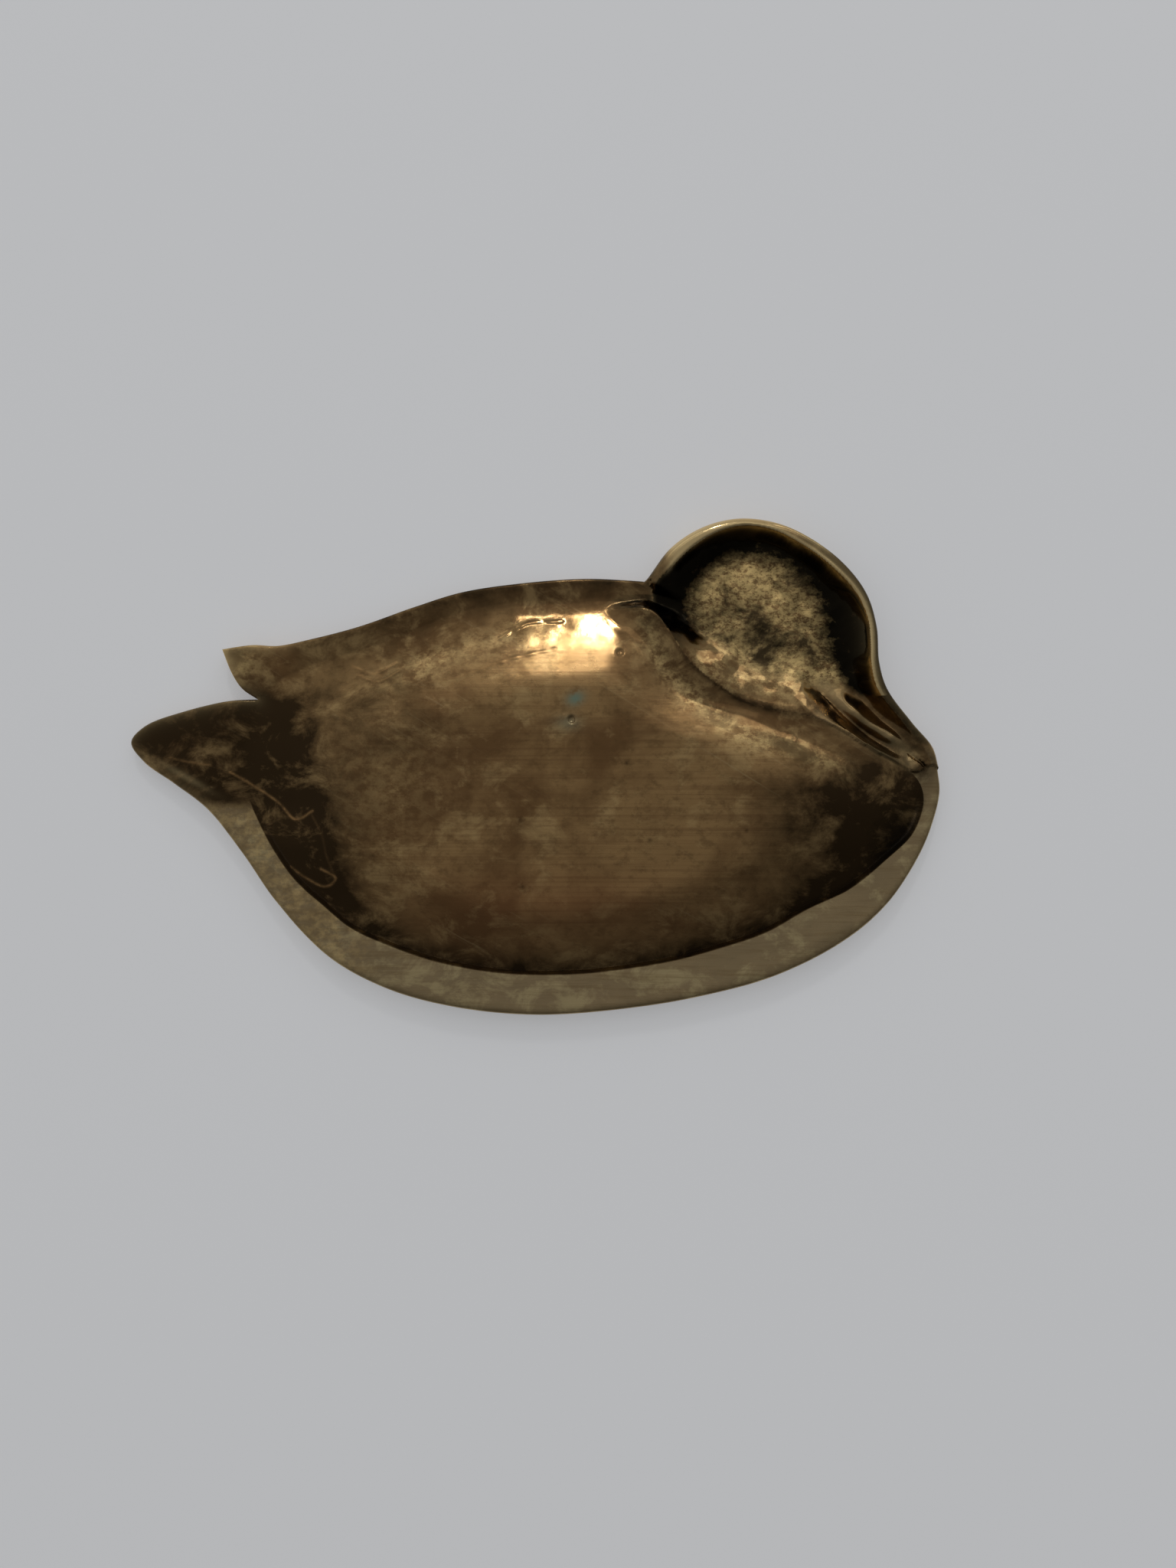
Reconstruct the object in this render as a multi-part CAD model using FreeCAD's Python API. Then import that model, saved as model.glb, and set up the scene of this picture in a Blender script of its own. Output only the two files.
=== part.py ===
"""A duck-shaped brass dish, cast in one piece, lying on its open side.

The foot side shows: the body swells upward to a flat foot, a rim band runs around it,
and the head with its beak is a hollow open at the top. The bowl is open underneath.
Millimetres. +X runs from tail to beak, +Y to the head side, +Z up.
The origin is the middle of the outline, on the plane that the rim rests on.
"""
import FreeCAD, Part
import math
import os

# Overall size of the outline.
LENGTH = 160.0
WIDTH = 97.4

# Heights above the resting plane.
RIM_HEIGHT = 4.2
CREASE_HEIGHT = 3.4
FOOT_HEIGHT = 10.0
HEAD_RIM_HEIGHT = 7.0
BEAK_RIM_HEIGHT = 5.0
TAIL_TIP_HEIGHT = 3.0

# Metal thicknesses, and what is ground off the crown to make the foot.
WALL = 2.2
HEAD_FLOOR = 2.0
CROWN = 0.4
OVERRUN = 1.0

# Bars inside the beak.
UPPER_BAR_RADIUS = 1.5
LOWER_BAR_RADIUS = 1.3
BAR_RISE = 1.1

# Outlines, as shares of LENGTH from the tail and of WIDTH from the belly.
BACK_SHARES = [
    (0.117, 0.739), (0.154, 0.748), (0.184, 0.747), (0.225, 0.761), (0.281, 0.785),
    (0.352, 0.826), (0.408, 0.855), (0.478, 0.873), (0.563, 0.883), (0.638, 0.878)]
HEAD_SHARES = [
    (0.638, 0.878), (0.667, 0.941), (0.704, 0.981), (0.746, 0.999), (0.789, 0.993),
    (0.831, 0.964), (0.873, 0.914), (0.904, 0.850), (0.917, 0.782), (0.920, 0.711),
    (0.930, 0.659), (0.961, 0.593), (0.988, 0.542), (0.996, 0.500)]
BELLY_SHARES = [
    (0.996, 0.500), (0.999, 0.451), (0.989, 0.381), (0.970, 0.312), (0.930, 0.219),
    (0.880, 0.150), (0.796, 0.080), (0.691, 0.034), (0.593, 0.010), (0.502, 0.001),
    (0.408, 0.015), (0.323, 0.051), (0.248, 0.117), (0.182, 0.230), (0.140, 0.329),
    (0.098, 0.415), (0.055, 0.468), (0.017, 0.512), (0.001, 0.552), (0.018, 0.585),
    (0.070, 0.616), (0.126, 0.636), (0.158, 0.639)]
WING_TIP_SHARES = [(0.158, 0.639), (0.141, 0.659), (0.129, 0.690), (0.117, 0.739)]

# Where the swelling of the body starts, inside the rim band and across the head.
CREASE_SHARES = [
    (0.143, 0.543), (0.168, 0.651), (0.224, 0.708), (0.292, 0.742), (0.350, 0.778),
    (0.403, 0.813), (0.464, 0.833), (0.539, 0.841), (0.605, 0.847), (0.648, 0.847),
    (0.671, 0.813), (0.695, 0.755), (0.723, 0.708), (0.754, 0.674), (0.793, 0.654),
    (0.836, 0.636), (0.877, 0.582), (0.922, 0.528), (0.967, 0.481), (0.978, 0.435),
    (0.966, 0.370), (0.931, 0.313), (0.888, 0.256), (0.836, 0.215), (0.785, 0.168),
    (0.728, 0.136), (0.672, 0.111), (0.607, 0.093), (0.543, 0.083), (0.457, 0.086),
    (0.376, 0.110), (0.317, 0.144), (0.274, 0.177), (0.239, 0.224), (0.206, 0.273),
    (0.182, 0.327), (0.164, 0.381), (0.147, 0.451)]
BODY_CENTRE_SHARE = (0.521, 0.443)
FOOT_SHARE = 0.62
BAND_SHARE = 1.15
BODY_STEPS = 6
TAIL_ROOT_SHARE = 0.16

# The hollow of the head and beak: its edge, and the edge of its floor.
HOLLOW_EDGE_SHARES = [
    (0.646, 0.860), (0.667, 0.904), (0.697, 0.949), (0.727, 0.975), (0.757, 0.985),
    (0.793, 0.974), (0.832, 0.940), (0.862, 0.902), (0.892, 0.850), (0.907, 0.796),
    (0.910, 0.747), (0.911, 0.702), (0.919, 0.655), (0.951, 0.591), (0.977, 0.540),
    (0.985, 0.508), (0.967, 0.494), (0.922, 0.528), (0.877, 0.574), (0.835, 0.605),
    (0.793, 0.616), (0.757, 0.633), (0.727, 0.664), (0.694, 0.707), (0.667, 0.767),
    (0.649, 0.815)]
HOLLOW_FLOOR_SHARES = [
    (0.683, 0.852), (0.695, 0.890), (0.713, 0.924), (0.737, 0.943), (0.765, 0.949),
    (0.795, 0.940), (0.821, 0.918), (0.842, 0.887), (0.859, 0.841), (0.867, 0.795),
    (0.870, 0.752), (0.882, 0.705), (0.898, 0.656), (0.925, 0.605), (0.953, 0.559),
    (0.968, 0.526), (0.953, 0.528), (0.915, 0.559), (0.882, 0.605), (0.854, 0.651),
    (0.821, 0.682), (0.784, 0.690), (0.751, 0.705), (0.723, 0.736), (0.699, 0.775),
    (0.686, 0.813)]

HOLLOW_STEPS = 5
BEAK_ROOT_SHARE = 0.72
BEAK_TIP_SHARE = 0.50

# The head's block under the side of the body, which closes its outline.
HEAD_ROOT_SHARES = [(0.996, 0.500), (0.880, 0.520), (0.780, 0.580), (0.690, 0.690), (0.638, 0.878)]

# The bars that stand in the beak, from its root to its tip.
UPPER_BAR_SHARES = [(0.858, 0.672), (0.880, 0.632), (0.907, 0.594), (0.940, 0.556), (0.963, 0.525)]
LOWER_BAR_SHARES = [(0.848, 0.612), (0.877, 0.576), (0.922, 0.532), (0.962, 0.503)]


def place(share, height=0.0):
    """Point at a share of the length and width, on the part's own axes."""
    return FreeCAD.Vector((share[0] - 0.5) * LENGTH, (share[1] - 0.5) * WIDTH, height)


def open_curve(shares):
    """Smooth edge through the points, with free ends."""
    curve = Part.BSplineCurve()
    curve.interpolate([place(share) for share in shares])
    return curve.toShape()


def closed_wire(shares, height, size_share=1.0, centre_share=BODY_CENTRE_SHARE):
    """Smooth closed wire at one height, scaled about a centre."""
    centre = place(centre_share, height)
    points = [centre + (place(share, height) - centre) * size_share for share in shares]
    curve = Part.BSplineCurve()
    curve.interpolate(points, PeriodicFlag=True)
    return Part.Wire(curve.toShape())


def between_wire(edge_shares, floor_shares, height, floor_share):
    """Smooth closed wire part of the way from an edge to its floor."""
    points = []
    for edge, floor in zip(edge_shares, floor_shares):
        start = place(edge, height)
        points.append(start + (place(floor, height) - start) * floor_share)
    curve = Part.BSplineCurve()
    curve.interpolate(points, PeriodicFlag=True)
    return Part.Wire(curve.toShape())


def prism(edges, height):
    """Solid with the given outline, from the resting plane up."""
    face = Part.Face(Part.Wire(edges))
    return face.extrude(FreeCAD.Vector(0, 0, height))


def duck_outline():
    """The whole outline, from the wing tip over the back, head, belly and tail."""
    return [open_curve(shares) for shares in
            (BACK_SHARES, HEAD_SHARES, BELLY_SHARES, WING_TIP_SHARES)]


def wedge(points, across):
    """Prism with the given corners, drawn through the whole part."""
    corners = points + points[:1]
    face = Part.Face(Part.makePolygon(corners))
    return face.extrude(across)


def band_slope():
    """What is cut away to let the rim band fall from the outer edge to the crease."""
    outer_height = CREASE_HEIGHT + 2 * (RIM_HEIGHT - CREASE_HEIGHT)
    wires = [closed_wire(CREASE_SHARES, CREASE_HEIGHT),
             closed_wire(CREASE_SHARES, outer_height, 2 * BAND_SHARE - 1)]
    return Part.makeLoft(wires, True, True)


def tail_slope():
    """What is cut away to thin the tail towards its tip."""
    root = place((TAIL_ROOT_SHARE, 0.0), RIM_HEIGHT)
    tip = place((0.0, 0.0), TAIL_TIP_HEIGHT)
    top = tip + FreeCAD.Vector(0, 0, RIM_HEIGHT)
    return wedge([root, tip, top], FreeCAD.Vector(0, WIDTH, 0))


def beak_slope():
    """What is cut away to let the rim fall from the head to the tip of the beak."""
    root = place((0.0, BEAK_ROOT_SHARE), HEAD_RIM_HEIGHT)
    tip = place((0.0, BEAK_TIP_SHARE), BEAK_RIM_HEIGHT)
    low = place((0.0, 0.0), BEAK_RIM_HEIGHT)
    top = place((0.0, 0.0), HEAD_RIM_HEIGHT + OVERRUN)
    back = place((0.0, BEAK_ROOT_SHARE), HEAD_RIM_HEIGHT + OVERRUN)
    return wedge([root, tip, low, top, back], FreeCAD.Vector(LENGTH, 0, 0))


def plate():
    """The flat outline of the duck with its sloping rim band and tail."""
    solid = prism(duck_outline(), RIM_HEIGHT)
    return solid.cut(band_slope()).cut(tail_slope())


def body_sections(lowered, low_height):
    """Wires of the swelling body from a low plane, past the crease, up to the crown."""
    swell = FOOT_HEIGHT + CROWN - CREASE_HEIGHT
    wires = [closed_wire(CREASE_SHARES, low_height)]
    for step in range(BODY_STEPS + 1):
        rise_share = step / BODY_STEPS
        height = CREASE_HEIGHT - lowered + swell * math.sin(math.pi / 2 * rise_share)
        wires.append(closed_wire(CREASE_SHARES, height, 1 - (1 - FOOT_SHARE) * rise_share))
    return wires


def body():
    """The body, which swells from the crease and is ground flat at the foot."""
    solid = Part.makeLoft(body_sections(0, CREASE_HEIGHT / 2), True)
    ground = Part.makeBox(LENGTH, WIDTH, FOOT_HEIGHT, place((0.0, 0.0), FOOT_HEIGHT))
    return solid.cut(ground)


def bowl():
    """The hollow of the body, one wall inside it and open underneath."""
    return Part.makeLoft(body_sections(WALL, -OVERRUN), True)


def head_block():
    """The head and beak before hollowing, with a rim that falls to the beak."""
    edges = [open_curve(HEAD_SHARES), open_curve(HEAD_ROOT_SHARES)]
    return prism(edges, HEAD_RIM_HEIGHT).cut(beak_slope())


def head_hollow():
    """The hollow of the head and beak, steep at its edge and level on its floor."""
    wires = [between_wire(HOLLOW_EDGE_SHARES, HOLLOW_FLOOR_SHARES, HEAD_RIM_HEIGHT + OVERRUN, 0)]
    for step in range(HOLLOW_STEPS + 1):
        angle = math.pi / 2 * step / HOLLOW_STEPS
        height = HEAD_RIM_HEIGHT - (HEAD_RIM_HEIGHT - HEAD_FLOOR) * math.sin(angle)
        wires.append(between_wire(HOLLOW_EDGE_SHARES, HOLLOW_FLOOR_SHARES, height,
                                  1 - math.cos(angle)))
    return Part.makeLoft(wires, True)


def beak_bar(shares, radius):
    """Round bar that lies in the beak and rises towards its tip."""
    count = len(shares) - 1
    points = [place(share, HEAD_FLOOR + BAR_RISE * index / count)
              for index, share in enumerate(shares)]
    spine = Part.BSplineCurve()
    spine.interpolate(points)
    along = points[1] - points[0]
    section = Part.Wire(Part.makeCircle(radius, points[0], along))
    return Part.Wire(spine.toShape()).makePipeShell([section], True, False)


def duck_casting():
    """The whole casting. Each of its forms is opened for the bowl before they are joined."""
    space = bowl()
    solid = plate().cut(space).fuse(body().cut(space)).fuse(head_block().cut(space))
    solid = solid.cut(head_hollow())
    solid = solid.fuse(beak_bar(UPPER_BAR_SHARES, UPPER_BAR_RADIUS))
    return solid.fuse(beak_bar(LOWER_BAR_SHARES, LOWER_BAR_RADIUS))


os.makedirs("parts", exist_ok=True)
shape = duck_casting()
print(shape.isValid(), len(shape.Solids), round(shape.Volume), shape.BoundBox)
shape.exportStep("parts/duck_casting.step")
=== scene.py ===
"""Looks of a duck-shaped brass dish that lies on its open side.

The casting is one closed mesh in millimetres on the CAD frame: a height field over the outline,
a plain underside with the bowl, and a side wall between them. One procedural brass covers it.
"""

import math

import bpy
import numpy as np
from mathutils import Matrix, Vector, geometry, kdtree


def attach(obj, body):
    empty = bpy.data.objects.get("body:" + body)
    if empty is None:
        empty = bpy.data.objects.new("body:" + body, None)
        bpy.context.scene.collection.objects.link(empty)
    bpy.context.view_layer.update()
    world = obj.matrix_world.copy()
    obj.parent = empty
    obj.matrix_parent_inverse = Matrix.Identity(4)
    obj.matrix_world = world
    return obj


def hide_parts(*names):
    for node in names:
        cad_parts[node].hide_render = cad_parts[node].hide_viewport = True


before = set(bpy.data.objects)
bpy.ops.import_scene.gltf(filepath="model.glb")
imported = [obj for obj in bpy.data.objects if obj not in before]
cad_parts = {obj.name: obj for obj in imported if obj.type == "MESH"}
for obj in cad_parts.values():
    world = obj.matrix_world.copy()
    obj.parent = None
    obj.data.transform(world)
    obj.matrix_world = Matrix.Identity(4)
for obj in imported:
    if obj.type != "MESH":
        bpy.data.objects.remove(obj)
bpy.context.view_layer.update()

MM = 0.001
# Length and width of the dish in millimetres.
LENGTH, WIDTH = 160.0, 97.4

# Curves, as shares of the length from the tail and of the width from the belly.
BACK = [
    (0.117, 0.739), (0.154, 0.748), (0.184, 0.747), (0.225, 0.761), (0.281, 0.785),
    (0.352, 0.826), (0.408, 0.855), (0.478, 0.873), (0.563, 0.883), (0.638, 0.878)]
HEAD = [
    (0.638, 0.878), (0.667, 0.941), (0.704, 0.981), (0.746, 0.999), (0.789, 0.993),
    (0.831, 0.964), (0.873, 0.914), (0.904, 0.850), (0.917, 0.782), (0.920, 0.711),
    (0.930, 0.659), (0.961, 0.593), (0.988, 0.542), (0.996, 0.500)]
BELLY = [
    (0.996, 0.500), (0.999, 0.451), (0.989, 0.381), (0.970, 0.312), (0.930, 0.219),
    (0.880, 0.150), (0.796, 0.080), (0.691, 0.034), (0.593, 0.010), (0.502, 0.001),
    (0.408, 0.015), (0.323, 0.051), (0.248, 0.117), (0.182, 0.230), (0.140, 0.329),
    (0.098, 0.415), (0.055, 0.468), (0.017, 0.512), (0.001, 0.552), (0.018, 0.585),
    (0.070, 0.616), (0.126, 0.636), (0.158, 0.639)]
WING_TIP = [(0.158, 0.639), (0.141, 0.659), (0.129, 0.690), (0.117, 0.739)]
CREASE = [
    (0.143, 0.543), (0.168, 0.651), (0.224, 0.708), (0.292, 0.742), (0.350, 0.778),
    (0.403, 0.813), (0.464, 0.833), (0.539, 0.841), (0.605, 0.847), (0.648, 0.847),
    (0.671, 0.813), (0.695, 0.755), (0.723, 0.708), (0.754, 0.674), (0.793, 0.654),
    (0.836, 0.636), (0.877, 0.582), (0.922, 0.528), (0.967, 0.481), (0.978, 0.435),
    (0.966, 0.370), (0.931, 0.313), (0.888, 0.256), (0.836, 0.215), (0.785, 0.168),
    (0.728, 0.136), (0.672, 0.111), (0.607, 0.093), (0.543, 0.083), (0.457, 0.086),
    (0.376, 0.110), (0.317, 0.144), (0.274, 0.177), (0.239, 0.224), (0.206, 0.273),
    (0.182, 0.327), (0.164, 0.381), (0.147, 0.451)]
HOLLOW_EDGE = [
    (0.646, 0.860), (0.667, 0.904), (0.697, 0.949), (0.727, 0.975), (0.757, 0.985),
    (0.793, 0.974), (0.832, 0.940), (0.862, 0.902), (0.892, 0.850), (0.907, 0.796),
    (0.910, 0.747), (0.911, 0.702), (0.919, 0.655), (0.951, 0.591), (0.977, 0.540),
    (0.985, 0.508), (0.967, 0.494), (0.922, 0.528), (0.877, 0.574), (0.835, 0.605),
    (0.793, 0.616), (0.757, 0.633), (0.727, 0.664), (0.694, 0.707), (0.667, 0.767),
    (0.649, 0.815)]
HOLLOW_FLOOR = [
    (0.683, 0.852), (0.695, 0.890), (0.713, 0.924), (0.737, 0.943), (0.765, 0.949),
    (0.795, 0.940), (0.821, 0.918), (0.842, 0.887), (0.859, 0.841), (0.867, 0.795),
    (0.870, 0.752), (0.882, 0.705), (0.898, 0.656), (0.925, 0.605), (0.953, 0.559),
    (0.968, 0.526), (0.953, 0.528), (0.915, 0.559), (0.882, 0.605), (0.854, 0.651),
    (0.821, 0.682), (0.784, 0.690), (0.751, 0.705), (0.723, 0.736), (0.699, 0.775),
    (0.686, 0.813)]
UPPER_BAR = [(0.858, 0.672), (0.880, 0.632), (0.907, 0.594), (0.940, 0.556), (0.963, 0.525)]
LOWER_BAR = [(0.848, 0.612), (0.877, 0.576), (0.922, 0.532), (0.962, 0.503)]
BODY_CENTRE = (0.521, 0.443)
# Where in the hollow's edge its point at the beak's tip stands.
BEAK_TIP_INDEX = 15
# Middle of the head in millimetres, and the ways from it to the hollow's low side and left side.
HEAD_CENTRE, LOW_WAY, LEFT_WAY = (45.4, 28.3), (-0.31, -0.95), (-0.98, 0.2)

# Heights above the resting plane, and the wall, in millimetres.
CREASE_Z, RIM_Z, FOOT_Z, HEAD_RIM_Z, BEAK_RIM_Z = 3.4, 4.2, 10.0, 7.0, 5.0
TAIL_TIP_Z, HEAD_FLOOR_Z, LIP_Z, WALL = 3.0, 2.0, 6.2, 2.2
# Rises of small forms, and how far the casting's unevenness may stand above the foot.
BEAK_FLOOR_RISE, WING_RISE, BEAD_RISE, FOOT_RELIEF = 1.6, 0.9, 0.28, 0.15
# Radii of the upper edge, what the crown adds to it, the lower edge, and the bulge of the side wall.
EDGE_RADIUS, CROWN_EXTRA_RADIUS, UNDER_RADIUS, WALL_BULGE = 0.8, 0.7, 0.5, 0.12
# Where the flat foot ends, as a share of the way from the body's middle to the crease.
FOOT_SHARE = 0.62
# The flank, as shares of the body's height: crisp on the belly side, soft towards the back.
CRISP_STEP, CRISP_RUN, CRISP_SLOPE = 0.14, 0.08, 0.90
SOFT_RUN, SOFT_SLOPE, SOFT_BEND, FOOT_BLEND = 0.13, 1.02, 0.03, 0.16
# Height and half width of the bars in the beak, and how far their ends take to fade.
UPPER_BAR_SIZE, LOWER_BAR_SIZE, BAR_ROOT_RUN, BAR_TIP_RUN = (1.8, 1.7), (1.5, 1.2), 9.0, 6.0

# How far forms take to run into each other, in millimetres.
BAND_RUN, HEAD_RUN, NECK_RUN, LIP_REACH, LIP_RUN, LIP_BLEND = 5.0, 2.0, 3.5, 11.0, 5.0, 2.2
# The lip falls off with the square of the distance from its line, times this.
LIP_CURVE = 0.03
# The band rises to this share of its height over the crease.
BAND_TOP_SHARE = 1.3
# Points are moved by this share of their way to the head's middle before they are read.
INWARD_SHARE = 0.006
# Rough distance from the body's middle to the crease by the head, by the neck and all round.
HEAD_REACH, NECK_REACH, UNDER_REACH = 40.0, 45.0, 60.0

# Gaps between the mesh's points, its rings' distances from the edge, and the rows of its wall.
TOP_GAP, DETAIL_GAP, UNDER_GAP = 0.62, 0.28, 1.4
OUTLINE_GAP, TOP_CREASE_GAP, UNDER_CREASE_GAP = 0.4, 0.4, 0.9
# Height of an even triangle over its side.
TRIANGLE_HEIGHT = 0.866
TOP_RINGS, UNDER_RINGS = (0.06, 0.18, 0.36, 0.6), (0.12, 0.28, 0.52)
TOP_MARGIN, UNDER_MARGIN = 0.95, 0.9
WALL_ROWS = (0.05, 0.25, 0.5, 0.75, 0.95)

# Lines that stand a little out of the surface: points in mm, height, half width.
LINES = [
    ([(-60.0, -0.8), (-56.2, -3.0), (-50.1, -6.9), (-46.6, -10.1), (-42.9, -8.4)], 0.16, 0.26),
    ([(-71.9, 2.0), (-67.7, 1.1), (-63.6, 0.5)], 0.08, 0.25),
    ([(-47.8, -19.4), (-44.4, -21.7), (-40.6, -23.2), (-38.5, -21.5), (-41.5, -19.7)], 0.14, 0.28),
    ([(-43.2, -9.0), (-41.0, -13.2), (-40.2, -17.0), (-38.5, -21.5)], 0.03, 0.25),
    ([(-35.8, 19.9), (-31.6, 18.4), (-26.8, 20.5)], 0.06, 0.25),
    ([(-34.6, 18.1), (-30.4, 16.8), (-26.4, 18.9)], 0.06, 0.25),
    ([(-6.8, 25.3), (-1.2, 28.3), (5.6, 28.7)], 0.10, 0.30),
    ([(-14.6, 17.4), (-5.3, 20.8), (4.2, 23.0)], 0.10, 0.35),
]
# Share of its height that a line has on average, the height of a line with a full mark, and
# the half width of the marks.
LINE_RISE_SHARE, LINE_FULL_HEIGHT, LINE_MARK_WIDTH = 0.5, 0.16, 0.22
# The crest of the body that faces the head, where a highlight is painted.
LIT_CREST = [
    (22.0, 28.9), (25.7, 19.2), (30.5, 14.4), (36.2, 9.2), (42.1, 5.3), (48.7, 4.4),
    (55.5, 1.5), (60.3, -0.5)]
# Pits and pimples: x, y, radius, depth, height of the lip.
PITS = [
    (7.4, 9.2, 0.7, 0.5, 0.06), (16.7, 22.3, 0.7, 0.3, 0.05), (6.0, 10.6, 0.5, 0.12, 0.0),
    (49.9, 5.9, 0.8, -0.05, 0.03), (-63.2, -3.2, 0.7, 0.25, 0.05), (-2.0, -23.0, 0.3, 0.05, 0.0),
    (22.4, -14.0, 0.3, 0.05, 0.0),
]

# Soft spots of the masks, in millimetres: strength, x, y, half width, half height, turn.
# The firm ones lie over what the others add up to.
# Painted shade in the chest corner, on the right flank, on the upper left shoulder and in the tail's pit;
# darker on the tail.
SHADE_AND_DIRT_SPOTS = [
    (1.0, 71.0, -13.0, 8.0, 13.0), (0.7, 60.0, -12.0, 15.0, 16.0),
    (0.9, -47.0, -9.0, 6.0, 15.0, 0.35), (0.6, -63.8, -3.0, 2.0, 2.6),
    (0.4, -28.0, 9.0, 12.0, 8.0, 0.3), (0.35, -33.0, 15.5, 9.0, 5.0),
    (0.30, 53.0, -7.0, 9.0, 8.0),
]
# Painted shade in the neck's groove and on the beak's tip, and dark specks of dirt in pits and elsewhere.
FIRM_SHADE_AND_DIRT_SPOTS = [(0.9, 76.0, 0.6, 3.2, 3.6), (0.9, 19.5, 32.4, 5.0, 1.8)] + [
    (0.7, x, y, 0.5) for x, y in
    ((-2.0, -23.0), (22.4, -14.0), (-2.4, -10.0), (18.0, 1.0), (41.0, -12.0), (-31.0, -17.0))]
# Painted shadow in the hollow, and painted shade at the neck and in the chest corner.
SHADOW_SPOTS = [(0.55, 44.0, 28.0, 5.5, 1.5, -0.65), (0.5, 48.5, 24.5, 2.2, 2.6)]
NECK_SHADOW = (0.95, 19.5, 32.3, 5.0, 1.6)
CHEST_SHADOW = (0.8, 71.0, -15.0, 5.0, 9.0, -0.3)
LINE_SPOT = (0.8, 60.0, 9.8, 3.6, 1.3, -0.6)
# Painted highlights on the wing tip's edge and on the tail, and rubbed metal with a painted highlight on the
# head's crown.
GLINT_SPOTS = [(1.0, -62.3, 22.5, 1.8, 4.0, 0.4), (0.3, -69.0, -1.6, 5.0, 0.6, -0.5)]
CROWN_RUBBED_AND_GLINT = (0.9, 31.0, 42.0, 9.0, 5.0, 0.75)
# Painted reflections on the shoulder, a painted highlight on the wing tip, and brighter metal on the body's
# left.
GOLD_AND_SHEEN_SPOTS = [
    (0.4, -24.0, 18.5, 9.0, 3.0, 0.4), (0.4, -8.0, 24.0, 18.0, 3.0, 0.18),
    (0.9, -58.5, 21.5, 5.0, 6.0), (0.25, -30.0, -2.0, 12.0, 14.0),
]
GREEN_SPOTS = [(1.0, 8.1, 13.2, 1.7, 1.2, 0.4), (0.35, 6.6, 8.6, 2.4, 1.5)]
RED_SPOTS = [(0.8, 5.0, -27.0, 24.0, 7.0), (0.6, 12.0, -44.5, 30.0, 1.5)]
# Share of every mask that is left on the wall and the underside.
UNSEEN_SHARE = 0.4

# Colours of the metal.
BROWN = (0.22, 0.120, 0.049, 1)
WARM_BROWN = (0.43, 0.262, 0.110, 1)
PALE_GOLD = (0.62, 0.42, 0.185, 1)
DARK_FLECK = (0.15, 0.085, 0.035, 1)
WORN_SCRATCH = (0.60, 0.44, 0.22, 1)
FOOT_SCRATCH = (0.20, 0.105, 0.045, 1)
RED_BROWN = (0.30, 0.125, 0.052, 1)
# The belly band, painted paler where it faces the lamps, and its brushed scratches.
LIT_BAND_BROWN = (0.36, 0.275, 0.155, 1)
LIT_BAND_GOLD = (0.60, 0.48, 0.25, 1)
BAND_SCRATCH = (0.22, 0.14, 0.06, 1)
# Bright brass of painted highlights and light, and of brighter metal.
GOLD_AND_SHEEN = (0.80, 0.57, 0.25, 1)
GOLD_SHADE = (0.26, 0.17, 0.075, 1)
# Dark brown of painted shade and dirt.
SHADE_AND_DIRT_BROWN = (0.046, 0.028, 0.013, 1)
BRIGHT_GRAIN = (0.92, 0.66, 0.28, 1)
DARK_GRAIN = (0.085, 0.058, 0.028, 1)
# Black of painted shadow.
SHADOW_BLACK = (0.010, 0.008, 0.005, 1)
GREEN = (0.25, 0.33, 0.24, 1)
LINE_BROWN = (0.44, 0.25, 0.10, 1)
# Bright brass of rubbed metal and painted highlights.
RUBBED_AND_GLINT = (0.90, 0.68, 0.34, 1)

# Studio: name, place, size and power of each lamp, in metres and watts.
LAMPS = [
    ("window", (-0.015, 0.915, 0.647), (0.028, 0.095), 0.55),
    ("pane", (-0.085, 0.86, 0.72), (0.030, 0.035), 0.06),
    ("sky", (-0.40, 0.93, 0.64), (0.42, 0.09), 0.05),
    ("right", (0.50, 0.86, 0.46), (0.35, 0.25), 0.22),
    ("ceiling", (0.15, 0.70, 0.95), (0.6, 0.4), 0.16),
]
# Floor, surrounding light and camera.
FLOOR_SIZE, FLOOR_COLOUR, FLOOR_ROUGHNESS = 3.0, (0.78, 0.785, 0.80, 1), 0.9
FLOOR_GLOW_COLOUR, FLOOR_GLOW = (0.97, 0.98, 1.0, 1), 0.24
WORLD_COLOUR = (0.98, 0.99, 1.0, 1)
WORLD_LIGHT, WORLD_LIGHT_BACK, WORLD_LIGHT_RIGHT = 0.27, 0.18, -0.07
WORLD_LEAST, WORLD_MOST = 0.015, 0.55
CAMERA_PLACE, CAMERA_LENS, CAMERA_SENSOR = (0.01053, -0.00316, 0.2266), 26, 36


def mm(shares):
    """Points in millimetres from shares of the length and width."""
    return (np.array(shares, float) - 0.5) * np.array([LENGTH, WIDTH])


def smooth_line(points, closed, steps=14):
    """Centripetal curve through the points."""
    p = np.asarray(points, float)
    count = len(p)
    out = []
    for i in range(count if closed else count - 1):
        a, b = p[i], p[(i + 1) % count]
        before = p[i - 1] if closed or i else 2 * a - b
        after = p[(i + 2) % count] if closed or i + 2 < count else 2 * b - a
        u, v, w = [max(math.dist(*pair), 1e-6) ** 0.5 for pair in ((before, a), (a, b), (b, after))]
        m = ((a - before) / u - (b - before) / (u + v) + (b - a) / v) * v
        n = ((b - a) / v - (after - a) / (v + w) + (after - b) / w) * v
        t = np.linspace(0, 1, steps, endpoint=False)[:, None]
        out.append((2 * t**3 - 3 * t**2 + 1) * a + (t**3 - 2 * t**2 + t) * m
                   + (3 * t**2 - 2 * t**3) * b + (t**3 - t**2) * n)
    if not closed:
        out.append(p[-1:])
    return np.concatenate(out)


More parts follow.
